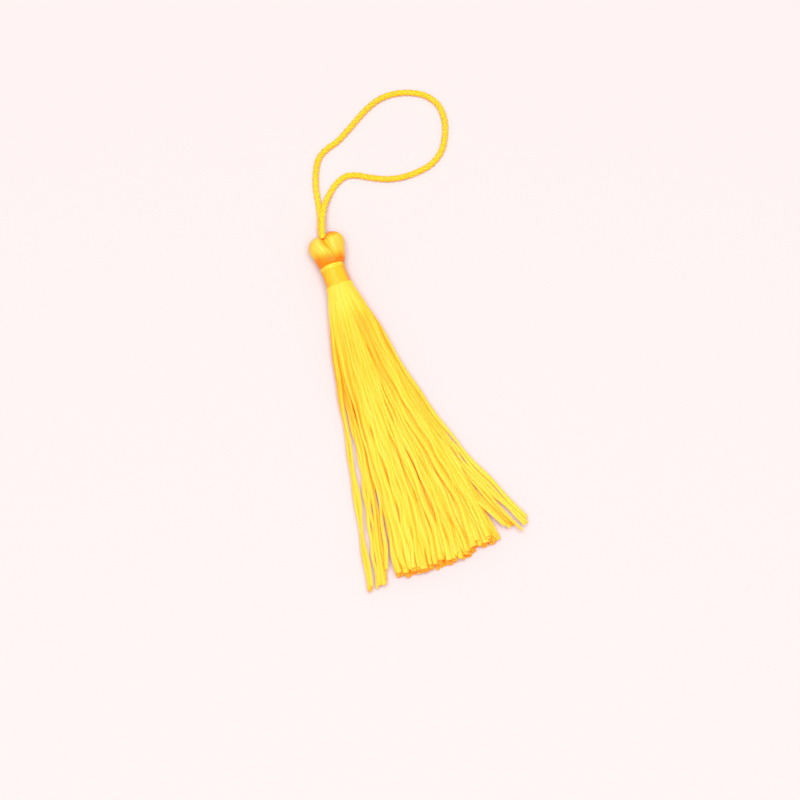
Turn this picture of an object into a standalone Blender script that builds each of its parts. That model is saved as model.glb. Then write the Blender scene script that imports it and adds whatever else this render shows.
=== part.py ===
"""A yarn tassel with a twisted hanging loop, lying on its back on a table.

It is made as a real one is.  A skein of yarn is folded over a cord, a thread is wound round its
neck, and the folded ends are cut to one length:
  folded_yarn   the two-lobed head, the neck and the fanned skirt of strands, all one yarn
  neck_binding  the wound band round the neck
  hanging_cord  the three-ply twisted cord of the hanging loop

Frame: metres, +Z up.  The table is z = 0.  The origin is on the head's flat underside, +Y runs
along the tassel from the skirt towards the loop, and +X is to the right, seen from above.
"""
import math
import random
from collections import namedtuple

import bmesh
import bpy
from mathutils import Vector
from mathutils.geometry import delaunay_2d_cdt

PIECE_GAP = 0.00031       # clearance between two pieces
FULL_TURN = 2.0 * math.pi

# ---- Head and neck: sections across the tassel's axis, from the skirt's root to the head's top ----

BODY_AXIS_HEIGHT = 0.00355        # height of the head's and the neck's middle over the table
BODY_SIDES = 48
BodyRow = namedtuple("BodyRow", "along centre half_width half_height ridge")
BODY_ROWS = (
    #       along     centre    half_width half_height ridge
    BodyRow(-0.01000, -0.00028, 0.00292, 0.00272, 0.0),        # end face, the strands' root
    BodyRow(-0.00966, -0.00029, 0.00288, 0.00268, 0.0),
    BodyRow(-0.00948, -0.00030, 0.00262, 0.00246, 0.0),        # shoulder under the binding
    BodyRow(-0.00944, -0.00030, 0.00200, 0.00200, 0.0),
    BodyRow(-0.00388, -0.00036, 0.00200, 0.00200, 0.0),        # top of the neck
    BodyRow(-0.00380, -0.00022, 0.00262, 0.00254, 0.0),        # bottom of the head
    BodyRow(-0.00345, -0.00011, 0.00296, 0.00284, 0.5),
    BodyRow(-0.00290, -0.00005, 0.00312, 0.00300, 1.0),
    BodyRow(-0.00225, 0.00000, 0.00328, 0.00318, 1.0),
    BodyRow(-0.00140, 0.00007, 0.00350, 0.00342, 1.0),
    BodyRow(-0.00050, 0.00012, 0.00374, 0.00362, 1.0),
    BodyRow(0.00040, 0.00014, 0.00396, 0.00372, 1.0),
    BodyRow(0.00110, 0.00015, 0.00400, 0.00374, 1.0),          # widest place
    BodyRow(0.00175, 0.00012, 0.00384, 0.00360, 0.6),
    BodyRow(0.00228, 0.00008, 0.00350, 0.00328, 0.2),
    BodyRow(0.00267, 0.00003, 0.00306, 0.00286, 0.0),
    BodyRow(0.00295, 0.00000, 0.00254, 0.00238, 0.0),
    BodyRow(0.00312, 0.00000, 0.00196, 0.00184, 0.0),
    BodyRow(0.00321, 0.00000, 0.00130, 0.00122, 0.0),
    BodyRow(0.00324, 0.00000, 0.00062, 0.00060, 0.0),
)
NECK_BOTTOM = BODY_ROWS[3]
NECK_TOP = BODY_ROWS[4]
HEAD_START = BODY_ROWS[5].along   # where the head begins, above the neck
THREAD_RIDGES = 24                # raised bunches of thread round the head
THREAD_RIDGE_HEIGHT = 0.00006
FLAT_SPOT_RISE = 0.00012          # the head's underside is pressed flat up to this height

CLEFT_PLACE = -0.00010            # across, where the yarn parts into two lobes round the cord
CLEFT_HALF_WIDTH = 0.00075
CLEFT_DEPTH = 0.00055
CLEFT_STARTS = 0.00060            # along the head
CLEFT_IS_FULL = 0.00270
POCKET_HALF_WIDTH = 0.00152       # the pocket in the cleft that holds both ends of the cord
POCKET_HALF_HEIGHT = 0.00208
POCKET_DEPTH = 0.00120
POCKET_STARTS = 0.00180
POCKET_WALL_POWER = 6             # the higher, the steeper the pocket's walls
LOBE_LEAN = 0.080                 # the right lobe stands a little higher than the left one

# The fold between the lobes: it leaves the cleft and wanders to the right down the head.
CreaseRow = namedtuple("CreaseRow", "along across depth half_width")
CREASE_ROWS = (
    #         along     across    depth    half_width
    CreaseRow(-0.00300, 0.00082, 0.00000, 0.00050),
    CreaseRow(-0.00215, 0.00074, 0.00012, 0.00052),
    CreaseRow(-0.00120, 0.00050, 0.00045, 0.00055),
    CreaseRow(-0.00030, 0.00004, 0.00080, 0.00060),
    CreaseRow(0.00060, -0.00034, 0.00110, 0.00066),
    CreaseRow(0.00160, -0.00040, 0.00140, 0.00074),
    CreaseRow(0.00250, -0.00030, 0.00160, 0.00082),
)
CREASE_DEEPEST = 0.65             # as a share of the body's half height

# ---- Skirt: strands that leave the end face in six rows and lie on the table in two layers ----

STRAND_ROOT_ALONG = BODY_ROWS[0].along
ROOT_ROW_STEP = 0.00082
ROOT_EDGE_MARGIN = 0.00019        # kept free inside the end face's rim
STRAND_CLEARANCE = 0.00008        # between the two layers
STRAND_SPACING_JITTER = 0.0022    # unevenness across the fan, as a share of its width
UNEVENNESS_SEED = 11
TRIM_SPREAD = 0.00070             # the cut is this uneven
RIGHT_TRIM = (0.00200, 0.00340)   # the last strands on the right are cut this much shorter
RIGHT_TRIM_STARTS = 0.84          # of the way across the fan

# The short rows are shifted a little, so that neighbours in the fan come from different rows.
RootRow = namedtuple("RootRow", "layer level strands shift")
ROOT_ROWS = (
    #       layer level strands shift
    RootRow(0, 0, 7, 0.00002),
    RootRow(0, 1, 11, -0.00002),
    RootRow(0, 2, 13, 0.0),
    RootRow(1, 0, 13, 0.0),
    RootRow(1, 1, 11, -0.00002),
    RootRow(1, 2, 7, 0.00002),
)
LEVELS = 3                        # root rows in a layer

FanLayer = namedtuple("FanLayer", "first last")
FAN_LAYERS = (
    #        first  last            place of a layer's outer strands across the fan, 0 to 1
    FanLayer(0.000, 1.000),
    FanLayer(0.050, 0.966),
)

# A row for each section of the skirt.  "down" is the distance below the root, "left" and "right"
# are the fan's edges, "lift" is the lowest strand's height over the table, "step" is the height
# between the levels of a layer, "loose" is what the upper layer adds to it, and "fanned" tells
# how far the strands are spread evenly.
SkirtRow = namedtuple("SkirtRow", "down left right lift width height step loose fanned")
SKIRT_ROWS = (
    #        down    left      right    lift     width    height   step     loose    fanned
    SkirtRow(0.0000, -0.00309, 0.00253, 0.00125, 0.00036, 0.00052, 0.00082, 0.00000, 0.00),
    SkirtRow(0.0035, -0.00430, 0.00395, 0.00070, 0.00050, 0.00058, 0.00080, 0.00000, 0.03),
    SkirtRow(0.0080, -0.00572, 0.00515, 0.00022, 0.00062, 0.00064, 0.00076, 0.00000, 0.12),
    SkirtRow(0.0140, -0.00726, 0.00635, 0.00000, 0.00070, 0.00068, 0.00068, 0.00000, 0.30),
    SkirtRow(0.0210, -0.00878, 0.00760, 0.00000, 0.00075, 0.00072, 0.00056, 0.00000, 0.56),
    SkirtRow(0.0285, -0.01015, 0.00895, 0.00000, 0.00078, 0.00075, 0.00042, 0.00000, 0.80),
    SkirtRow(0.0360, -0.01160, 0.01085, 0.00000, 0.00080, 0.00078, 0.00028, 0.00002, 0.95),
    SkirtRow(0.0435, -0.01320, 0.01340, 0.00000, 0.00080, 0.00080, 0.00017, 0.00004, 1.00),
    SkirtRow(0.0510, -0.01485, 0.01630, 0.00000, 0.00081, 0.00081, 0.00010, 0.00006, 1.00),
    SkirtRow(0.0585, -0.01640, 0.01955, 0.00000, 0.00082, 0.00082, 0.00004, 0.00009, 1.00),
    SkirtRow(0.0660, -0.01775, 0.02225, 0.00000, 0.00084, 0.00084, 0.00000, 0.00012, 1.00),
)

# Gaps where the strands part and the table shows: the place across the fan, the width at the
# tips, and how far down the skirt the gap begins.
FanGap = namedtuple("FanGap", "place width begins")
FAN_GAPS = (
    #      place  width    begins
    FanGap(0.016, 0.00055, 0.0140),
    FanGap(0.078, 0.00200, 0.0435),
    FanGap(0.887, 0.00200, 0.0510),
    FanGap(0.952, 0.00100, 0.0360),
    FanGap(0.984, 0.00070, 0.0285),
)

# ---- Neck binding: a closed band of wound turns ----

BINDING_SIDES = 36
BINDING_TURNS = 11
BINDING_BOTTOM = NECK_BOTTOM.along + PIECE_GAP
BINDING_TOP = NECK_TOP.along - PIECE_GAP
BINDING_INNER_RADIUS = NECK_TOP.half_width + PIECE_GAP
BINDING_BOTTOM_RADIUS = 0.00283
BINDING_TOP_RADIUS = 0.00272
BINDING_RIDGE_HEIGHT = 0.00007
BINDING_EDGE_ROUNDING = 0.00012

# ---- Hanging cord: one route from the head, round the loop and back into the head ----

CORD_RADIUS = 0.00070
CORD_PLIES = 3
CORD_LAY = 0.0042                 # length in which the plies make one turn
CORD_STEPS_PER_LAY = 9
CURVE_STEPS_PER_POINT = 24        # how finely the route is smoothed before it is divided evenly
PLY_SHOULDER_TURN = math.radians(21.0)      # from a ply's middle to the corners of its round
VALLEY_RADIUS = 0.00044           # between two plies
RoutePoint = namedtuple("RoutePoint", "across along height")
CORD_ROUTE = (
    #          across    along    height
    RoutePoint(-0.00020, 0.00236, 0.00268),     # left leg's end, in the cleft
    RoutePoint(-0.00010, 0.00380, 0.00258),
    RoutePoint(0.00052, 0.00610, 0.00196),
    RoutePoint(0.00128, 0.00840, 0.00112),
    RoutePoint(0.00184, 0.01080, 0.00074),
    RoutePoint(0.00230, 0.01330, 0.00073),
    RoutePoint(0.00292, 0.01600, 0.00073),
    RoutePoint(0.00400, 0.01890, 0.00073),
    RoutePoint(0.00560, 0.02160, 0.00073),
    RoutePoint(0.00800, 0.02320, 0.00073),
    RoutePoint(0.01110, 0.02420, 0.00073),
    RoutePoint(0.01440, 0.02600, 0.00073),
    RoutePoint(0.01770, 0.02800, 0.00073),
    RoutePoint(0.02080, 0.02960, 0.00073),
    RoutePoint(0.02400, 0.03055, 0.00073),
    RoutePoint(0.02740, 0.03050, 0.00073),
    RoutePoint(0.03080, 0.02950, 0.00073),
    RoutePoint(0.03380, 0.02760, 0.00073),      # far right of the loop
    RoutePoint(0.03565, 0.02460, 0.00073),
    RoutePoint(0.03580, 0.02100, 0.00073),
    RoutePoint(0.03470, 0.01740, 0.00073),
    RoutePoint(0.03260, 0.01400, 0.00073),
    RoutePoint(0.02940, 0.01180, 0.00073),
    RoutePoint(0.02560, 0.01105, 0.00073),
    RoutePoint(0.02180, 0.01110, 0.00073),
    RoutePoint(0.01830, 0.01195, 0.00073),
    RoutePoint(0.01510, 0.01350, 0.00073),
    RoutePoint(0.01230, 0.01510, 0.00073),
    RoutePoint(0.00980, 0.01560, 0.00073),
    RoutePoint(0.00720, 0.01455, 0.00076),
    RoutePoint(0.00500, 0.01270, 0.00104),      # the right leg climbs on to the left one
    RoutePoint(0.00340, 0.01080, 0.00186),
    RoutePoint(0.00236, 0.00920, 0.00250),
    RoutePoint(0.00150, 0.00740, 0.00312),
    RoutePoint(0.00076, 0.00540, 0.00378),
    RoutePoint(0.00024, 0.00370, 0.00424),
    RoutePoint(-0.00008, 0.00236, 0.00436),     # right leg's end, in the cleft
)

# ---- Looks of the plain solids: colour, roughness, metallic ----

Finish = namedtuple("Finish", "colour roughness metallic")
YARN_FINISH = Finish((0.95, 0.62, 0.045, 1.0), 0.42, 0.0)
BINDING_FINISH = Finish((0.93, 0.52, 0.03, 1.0), 0.38, 0.0)
CORD_FINISH = Finish((0.92, 0.55, 0.03, 1.0), 0.45, 0.0)
SMOOTH_BELOW = math.radians(50.0)


def clear_scene():
    for old_object in list(bpy.data.objects):
        bpy.data.objects.remove(old_object, do_unlink=True)


def ramp(value, start, end):
    """Rise smoothly from 0 at start to 1 at end; start may be the larger of the two."""
    share = min(max((value - start) / (end - start), 0.0), 1.0)
    return share * share * (3.0 - 2.0 * share)


def mix(low, high, share):
    return low + (high - low) * share


def make_object(name, mesh_builder, finish):
    """Turn a finished bmesh into a shaded object with a material of its own."""
    mesh = bpy.data.meshes.new(name)
    mesh_builder.to_mesh(mesh)
    mesh_builder.free()
    mesh.shade_smooth()
    mesh.set_sharp_from_angle(angle=SMOOTH_BELOW)
    material = bpy.data.materials.new(name + "_finish")
    material.use_nodes = True
    shader = material.node_tree.nodes["Principled BSDF"]
    shader.inputs["Base Color"].default_value = finish.colour
    shader.inputs["Roughness"].default_value = finish.roughness
    shader.inputs["Metallic"].default_value = finish.metallic
    mesh.materials.append(material)
    piece = bpy.data.objects.new(name, mesh)
    bpy.context.scene.collection.objects.link(piece)
    return piece


def bridge(builder, ring_a, ring_b):
    """Join two closed rings of vertices that have the same number of points."""
    count = len(ring_a)
    for index in range(count):
        following = (index + 1) % count
        builder.faces.new((ring_a[index], ring_a[following], ring_b[following], ring_b[index]))


# ---- Folded yarn ----

def row_between(rows, along):
    """The row of a table at a place along the head, read between two of its rows."""
    for lower, upper in zip(rows, rows[1:]):
        if along <= upper.along:
            share = max((along - lower.along) / (upper.along - lower.along), 0.0)
            return type(lower)(*(mix(a, b, share) for a, b in zip(lower, upper)))
    return rows[-1]


def body_point(row, angle):
    """A point of the head or the neck, with the head's threads, cleft, crease and flat spot."""
    off_the_table = ramp(math.sin(angle), -1.0, 0.0)
    swell = THREAD_RIDGE_HEIGHT * row.ridge * math.cos(THREAD_RIDGES * angle) * off_the_table
    across = row.centre + (row.half_width + swell) * math.cos(angle)
    rise = (row.half_height + swell) * math.sin(angle)
    along = row.along
    if along >= HEAD_START:
        fold = row_between(CREASE_ROWS, along)
        crease = math.exp(-((across - fold.across) / fold.half_width) ** 2) * off_the_table
        rise *= 1.0 - min(crease * fold.depth / row.half_height, CREASE_DEEPEST)
        from_cleft = across - CLEFT_PLACE
        parting = math.exp(-(from_cleft / CLEFT_HALF_WIDTH) ** 2)
        pocket = math.exp(-(from_cleft / POCKET_HALF_WIDTH) ** POCKET_WALL_POWER
                          - (rise / POCKET_HALF_HEIGHT) ** POCKET_WALL_POWER)
        along -= CLEFT_DEPTH * parting * ramp(row.along, CLEFT_STARTS, CLEFT_IS_FULL)
        along -= POCKET_DEPTH * pocket * ramp(row.along, POCKET_STARTS, CLEFT_IS_FULL)
        along += LOBE_LEAN * across * ramp(row.along, HEAD_START, CLEFT_IS_FULL)
    height = BODY_AXIS_HEIGHT + rise
    if height < FLAT_SPOT_RISE:
        height = 0.0
    return Vector((across, along, height))


def add_body(builder):
    """Loft the head and neck, close the head's top, and return the end face's ring."""
    rings = []
    for row in BODY_ROWS:
        angles = (FULL_TURN * side / BODY_SIDES for side in range(BODY_SIDES))
        rings.append([builder.verts.new(body_point(row, angle)) for angle in angles])
    for lower, upper in zip(rings, rings[1:]):
        bridge(builder, lower, upper)
    top = sum((vertex.co for vertex in rings[-1]), Vector()) / BODY_SIDES
    top_vertex = builder.verts.new(top)
    for side in range(BODY_SIDES):
        following = (side + 1) % BODY_SIDES
        builder.faces.new((rings[-1][side], rings[-1][following], top_vertex))
    return rings[0]


def strand_starts(chooser):
    """Each strand's layer, level and place on the end face, layer by layer, left to right."""
    face = BODY_ROWS[0]
    widest = usable_half_width(face, ROOT_ROWS[LEVELS - 1])
    starts = []
    for layer in range(len(FAN_LAYERS)):
        members = []
        for row in ROOT_ROWS:
            if row.layer != layer:
                continue
            reach = usable_half_width(face, row)
            for number in range(row.strands):
                place = mix(-reach, reach, number / (row.strands - 1)) + row.shift
                members.append((place, row.level))
        members.sort()
        for order, (place, level) in enumerate(members):
            fan = FAN_LAYERS[layer]
            fan_share = mix(fan.first, fan.last, order / (len(members) - 1))
            if 0 < order < len(members) - 1:
                fan_share += chooser.uniform(-1.0, 1.0) * STRAND_SPACING_JITTER
            root_share = (place + widest) / (2.0 * widest)
            starts.append((layer, level, root_share, fan_share))
    return starts


def usable_half_width(face, row):
    """Half the width that a root row may fill on the elliptical end face."""
    row_number = row.layer * LEVELS + row.level
    offset = abs(row_number - (len(ROOT_ROWS) - 1) / 2.0) * ROOT_ROW_STEP
    outer_corner = offset + SKIRT_ROWS[0].height / 2.0
    share = outer_corner / face.half_height
    return face.half_width * math.sqrt(1.0 - share ** 2) - ROOT_EDGE_MARGIN


def skirt_section(down):
    """The skirt's row at any distance below the root, read between two rows of the table."""
    for upper, lower in zip(SKIRT_ROWS, SKIRT_ROWS[1:]):
        if down <= lower.down:
            share = (down - upper.down) / (lower.down - upper.down)
            return SkirtRow(*(mix(a, b, share) for a, b in zip(upper, lower)))
    return SKIRT_ROWS[-1]


def gap_width(gap, down):
    tips = SKIRT_ROWS[-1].down
    return gap.width * min(max((down - gap.begins) / (tips - gap.begins), 0.0), 1.0)


def strand_ring(start, down):
    """The four corners of a strand's diamond section, at a distance below the root."""
    layer, level, root_share, fan_share = start
    row = skirt_section(down)
    share = mix(root_share, fan_share, row.fanned)
    gaps_passed = sum(gap_width(gap, down) for gap in FAN_GAPS if gap.place < fan_share)
    all_gaps = sum(gap_width(gap, down) for gap in FAN_GAPS)
    free_width = row.right - row.left - row.width - all_gaps
    across = row.left + row.width / 2.0 + free_width * share + gaps_passed
    layer_step = (LEVELS - 1) * row.step + row.height + STRAND_CLEARANCE
    layer_step = mix(layer_step, LEVELS * ROOT_ROW_STEP, 1.0 - ramp(down, 0.0, SKIRT_ROWS[1].down))
    level_step = row.step + layer * row.loose
    height = row.lift + row.height / 2.0 + layer * layer_step + level * level_step
    along = STRAND_ROOT_ALONG - down
    return [
        Vector((across + row.width / 2.0, along, height)),
        Vector((across, along, height + row.height / 2.0)),
        Vector((across - row.width / 2.0, along, height)),
        Vector((across, along, height - row.height / 2.0)),
    ]


def strand_length(fan_share, chooser):
    """Where a strand is cut: unevenly, and shorter at the fan's right edge."""
    trim = chooser.random() * TRIM_SPREAD
    trim += chooser.uniform(*RIGHT_TRIM) * ramp(fan_share, RIGHT_TRIM_STARTS, 1.0)
    return SKIRT_ROWS[-1].down - trim


def add_end_face(builder, rim, strand_roots):
    """Fill the skirt's end face round the strands, so that yarn and strands are one body."""
    corners = list(rim)
    outlines = [list(range(len(rim)))]
    for root in strand_roots:
        outlines.append(list(range(len(corners), len(corners) + len(root))))
        corners.extend(root)
    flat = [Vector((corner.co.x, corner.co.z)) for corner in corners]
    filled = delaunay_2d_cdt(flat, [], outlines, 1, 1e-9, True)
    triangles, source_vertices, source_faces = filled[2], filled[3], filled[5]
    for triangle, sources in zip(triangles, source_faces):
        if any(source > 0 for source in sources):
            continue
        face = [corners[source_vertices[index][0]] for index in triangle]
        builder.faces.new(face)


def make_folded_yarn():
    builder = bmesh.new()
    rim = add_body(builder)
    chooser = random.Random(UNEVENNESS_SEED)
    roots = []
    for start in strand_starts(chooser):
        length = strand_length(start[3], chooser)
        stations = [row.down for row in SKIRT_ROWS[:-1]] + [length]
        rings = [[builder.verts.new(corner) for corner in strand_ring(start, down)]
                 for down in stations]
        for upper, lower in zip(rings, rings[1:]):
            bridge(builder, lower, upper)
        builder.faces.new(rings[-1])
        roots.append(rings[0])
    add_end_face(builder, rim, roots)
    bmesh.ops.recalc_face_normals(builder, faces=builder.faces)
    bmesh.ops.triangulate(builder, faces=[face for face in builder.faces if len(face.verts) > 4])
    return make_object("folded_yarn", builder, YARN_FINISH)


# ---- Neck binding ----

def neck_centre(along):
    """The neck's middle, across, at a place along the axis."""
    share = (along - NECK_BOTTOM.along) / (NECK_TOP.along - NECK_BOTTOM.along)
    return mix(NECK_BOTTOM.centre, NECK_TOP.centre, share)


def binding_profile():
    """The band's section as (along, radius), down its wound outer face and back up inside."""
    half_turns = 2 * BINDING_TURNS
    profile = []
    for half_turn in range(half_turns + 1):
        share = half_turn / half_turns
        radius = mix(BINDING_TOP_RADIUS, BINDING_BOTTOM_RADIUS, share)
        if half_turn in (0, half_turns):
            radius -= BINDING_EDGE_ROUNDING
        elif half_turn % 2 == 0:
            radius -= BINDING_RIDGE_HEIGHT
        profile.append((mix(BINDING_TOP, BINDING_BOTTOM, share), radius))
    profile.append((BINDING_BOTTOM, BINDING_INNER_RADIUS))
    profile.append((BINDING_TOP, BINDING_INNER_RADIUS))
    return profile


def make_neck_binding():
    builder = bmesh.new()
    rings = []
    for along, radius in binding_profile():
        ring = []
        for side in range(BINDING_SIDES):
            angle = FULL_TURN * side / BINDING_SIDES
            across = neck_centre(along) + radius * math.cos(angle)
            height = BODY_AXIS_HEIGHT + radius * math.sin(angle)
            ring.append(builder.verts.new((across, along, height)))
        rings.append(ring)
    for ring, following in zip(rings, rings[1:] + rings[:1]):
        bridge(builder, ring, following)
    bmesh.ops.recalc_face_normals(builder, faces=builder.faces)
    return make_object("neck_binding", builder, BINDING_FINISH)


# ---- Hanging cord ----

def smooth_route(points):
    """A dense curve through the points: a Catmull-Rom curve whose ends run straight on."""
    ends = [2.0 * points[0] - points[1]] + points + [2.0 * points[-1] - points[-2]]
    dense = []
    for before, start, end, after in zip(ends, ends[1:], ends[2:], ends[3:]):
        for step in range(CURVE_STEPS_PER_POINT):
            t = step / CURVE_STEPS_PER_POINT
            dense.append(0.5 * (2.0 * start + (end - before) * t
                                + (2.0 * before - 5.0 * start + 4.0 * end - after) * t ** 2
                                + (3.0 * start - before - 3.0 * end + after) * t ** 3))
    dense.append(points[-1])
    return dense


def even_route(dense, step):
    """The same curve with its points the same distance apart, about one step."""
    travelled = [0.0]
    for here, there in zip(dense, dense[1:]):
        travelled.append(travelled[-1] + (there - here).length)
    count = round(travelled[-1] / step)
    route = []
    index = 0
    for number in range(count + 1):
        wanted = travelled[-1] * number / count
        while index < len(dense) - 2 and travelled[index + 1] < wanted:
            index += 1
        share = (wanted - travelled[index]) / (travelled[index + 1] - travelled[index])
        route.append(dense[index].lerp(dense[index + 1], min(share, 1.0)))
    return route, travelled[-1]


def cord_outline():
    """Angle and radius of the section's points: two on each ply, one in each valley."""
    outline = []
    for ply in range(CORD_PLIES):
        middle = FULL_TURN * ply / CORD_PLIES
        outline.append((middle - PLY_SHOULDER_TURN, CORD_RADIUS))
        outline.append((middle + PLY_SHOULDER_TURN, CORD_RADIUS))
        outline.append((middle + math.pi / CORD_PLIES, VALLEY_RADIUS))
    return outline


def make_hanging_cord():
    points = [Vector(point) for point in CORD_ROUTE]
    route, length = even_route(smooth_route(points), CORD_LAY / CORD_STEPS_PER_LAY)
    builder = bmesh.new()
    rings = []
    side = Vector((0.0, 0.0, 1.0))
    for number, place in enumerate(route):
        ahead = route[min(number + 1, len(route) - 1)] - route[max(number - 1, 0)]
        ahead.normalize()
        side = (side - ahead * side.dot(ahead)).normalized()
        other = ahead.cross(side)
        twist = FULL_TURN * (length * number / (len(route) - 1)) / CORD_LAY
        ring = []
        for angle, radius in cord_outline():
            offset = side * math.cos(angle + twist) + other * math.sin(angle + twist)
            ring.append(builder.verts.new(place + offset * radius))
        rings.append(ring)
    for ring, following in zip(rings, rings[1:]):
        bridge(builder, ring, following)
    builder.faces.new(rings[0])
    builder.faces.new(rings[-1])
    bmesh.ops.recalc_face_normals(builder, faces=builder.faces)
    bmesh.ops.triangulate(builder, faces=[face for face in builder.faces if len(face.verts) > 4])
    return make_object("hanging_cord", builder, CORD_FINISH)


def main():
    clear_scene()
    make_folded_yarn()
    make_neck_binding()
    make_hanging_cord()


main()
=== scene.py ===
"""Looks of a yarn tassel with a twisted hanging loop, lying on its back on a pale table.

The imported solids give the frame: metres, +Z up, the table at z = 0, +Y from the skirt towards the
loop.  Every solid is replaced by finer yarn work:
  folded_yarn   a core, threads laid over the head, and a skirt of separate soft strands, which is
                close to the solid's fan seen from above but stands up to 2.2 mm higher
  neck_binding  one thread wound round the neck in close turns
  hanging_cord  three plies twisted into a cord, on the same route
"""

import math
import random
from collections import namedtuple

import bpy
import numpy as np
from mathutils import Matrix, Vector


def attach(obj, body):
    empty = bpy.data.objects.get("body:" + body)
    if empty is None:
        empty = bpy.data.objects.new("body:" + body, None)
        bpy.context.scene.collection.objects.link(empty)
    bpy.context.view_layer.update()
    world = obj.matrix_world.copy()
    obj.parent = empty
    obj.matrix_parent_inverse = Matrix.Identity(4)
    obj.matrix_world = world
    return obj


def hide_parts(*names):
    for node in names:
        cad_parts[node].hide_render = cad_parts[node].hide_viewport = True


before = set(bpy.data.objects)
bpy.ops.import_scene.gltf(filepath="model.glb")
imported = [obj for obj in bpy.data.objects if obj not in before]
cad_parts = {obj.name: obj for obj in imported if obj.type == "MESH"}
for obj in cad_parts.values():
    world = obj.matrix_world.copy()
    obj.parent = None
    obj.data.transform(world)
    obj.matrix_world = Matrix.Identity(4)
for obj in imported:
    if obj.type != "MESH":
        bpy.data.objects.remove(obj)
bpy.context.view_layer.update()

FULL_TURN = 2.0 * math.pi
BODY = "root"
CHOOSER_SEED = 7
PER_METRE = 100000.0  # a table divided by this is in hundredths of a millimetre


# ---- Helpers for objects and nodes ----

def link_object(name, data):
    made = bpy.data.objects.new(name, data)
    bpy.context.scene.collection.objects.link(made)
    return made


def new_material(name):
    """A material, its nodes, its links and its shader."""
    material = bpy.data.materials.new(name)
    material.use_nodes = True
    tree = material.node_tree
    return material, tree.nodes, tree.links, tree.nodes["Principled BSDF"]


def set_inputs(node, values):
    for name, value in values.items():
        node.inputs[name].default_value = value


def add_noise(nodes, links, place, values):
    """A noise texture read at the places of a socket."""
    noise = nodes.new("ShaderNodeTexNoise")
    set_inputs(noise, values)
    links.new(place, noise.inputs["Vector"])
    return noise.outputs["Fac"]


def colour_by(nodes, links, factor, stops, target):
    """Colour the target socket by a factor, through a ramp of stops: position and colour."""
    colours = nodes.new("ShaderNodeValToRGB")
    elements = colours.color_ramp.elements
    while len(elements) < len(stops):
        elements.new(0.5)
    for element, (position, colour) in zip(elements, stops):
        element.position = position
        element.color = colour
    links.new(factor, colours.inputs["Fac"])
    links.new(colours.outputs["Color"], target)


# ---- Camera, light and table ----

PHOTO_LENS = 129.15  # millimetres, on a sensor 36 mm wide
SENSOR_WIDTH = 36.0
AIM = Vector((0.00375, -0.03759, 0.0))  # the middle of the picture, on the table
CAMERA_DISTANCE = 0.640
CAMERA_ELEVATION = math.radians(76.0)
CAMERA_TURN = math.radians(20.0)  # the tassel lies turned by this much in the picture
CAMERA_CLIP = (0.01, 20.0)


def make_camera():
    level = math.cos(CAMERA_ELEVATION)
    back = Vector((-math.sin(CAMERA_TURN) * level, -math.cos(CAMERA_TURN) * level,
                   math.sin(CAMERA_ELEVATION)))  # from the aim to the camera
    data = bpy.data.cameras.new("camera")
    data.sensor_fit = "HORIZONTAL"
    data.sensor_width = SENSOR_WIDTH
    data.lens = PHOTO_LENS
    data.clip_start, data.clip_end = CAMERA_CLIP
    camera = link_object("camera", data)
    camera.location = AIM + back * CAMERA_DISTANCE
    camera.rotation_mode = "QUATERNION"
    camera.rotation_quaternion = (-back).to_track_quat("-Z", "Y")
    bpy.context.scene.camera = camera


TABLE_HALF_WIDTH = 4.0
TABLE_COLOUR = (0.500, 0.454, 0.462, 1.0)
TABLE_ROUGHNESS = 0.7
TABLE_GLOSS = 0.1
SKY_COLOURS = (  # height from 0 at the horizon to 1 overhead, and the colour there
    (0.00, (1.00, 0.905, 0.912, 1.0)),  # the same as the lit table, where they meet
    (0.08, (0.60, 0.34, 0.31, 1.0)),
    (0.35, (0.60, 0.36, 0.33, 1.0)),
    (0.65, (0.72, 0.58, 0.56, 1.0)),
    (1.00, (0.85, 0.80, 0.79, 1.0)),
)
WORLD_STRENGTH = 1.0

LAMP_PLACE = (-0.08, -0.24, 1.90)
LAMP_WIDTH = 1.30
LAMP_POWER = 59.5
LAMP_COLOUR = (1.0, 0.99, 0.975)


def make_table():
    mesh = bpy.data.meshes.new("table")
    half = TABLE_HALF_WIDTH
    mesh.from_pydata([(-half, -half, 0.0), (half, -half, 0.0), (half, half, 0.0), (-half, half, 0.0)],
                     [], [(0, 1, 2, 3)])
    table = link_object("table", mesh)
    material, _, _, shader = new_material("table_paint")
    set_inputs(shader, {"Base Color": TABLE_COLOUR, "Roughness": TABLE_ROUGHNESS,
                        "Specular IOR Level": TABLE_GLOSS})
    mesh.materials.append(material)


def make_light():
    """A studio with a pale ceiling, dimmer, warmer walls and a horizon as bright as the table, and
    one large soft lamp."""
    world = bpy.data.worlds.new("studio")
    world.use_nodes = True
    nodes, links = world.node_tree.nodes, world.node_tree.links
    background = nodes["Background"]
    direction = nodes.new("ShaderNodeTexCoord")
    parts = nodes.new("ShaderNodeSeparateXYZ")
    links.new(direction.outputs["Generated"], parts.inputs["Vector"])
    colour_by(nodes, links, parts.outputs["Z"], SKY_COLOURS, background.inputs["Color"])
    background.inputs["Strength"].default_value = WORLD_STRENGTH
    bpy.context.scene.world = world
    data = bpy.data.lights.new("key_lamp", "AREA")
    data.size = LAMP_WIDTH
    data.energy = LAMP_POWER
    data.color = LAMP_COLOUR
    lamp = link_object("key_lamp", data)
    lamp.location = LAMP_PLACE
    lamp.rotation_mode = "QUATERNION"
    lamp.rotation_quaternion = (AIM - Vector(LAMP_PLACE)).to_track_quat("-Z", "Y")


def set_colours():
    settings = bpy.context.scene.view_settings
    settings.view_transform = "Standard"
    settings.look = "None"
    settings.exposure = 0.0
    settings.gamma = 1.0


# ---- Small tools ----

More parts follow.
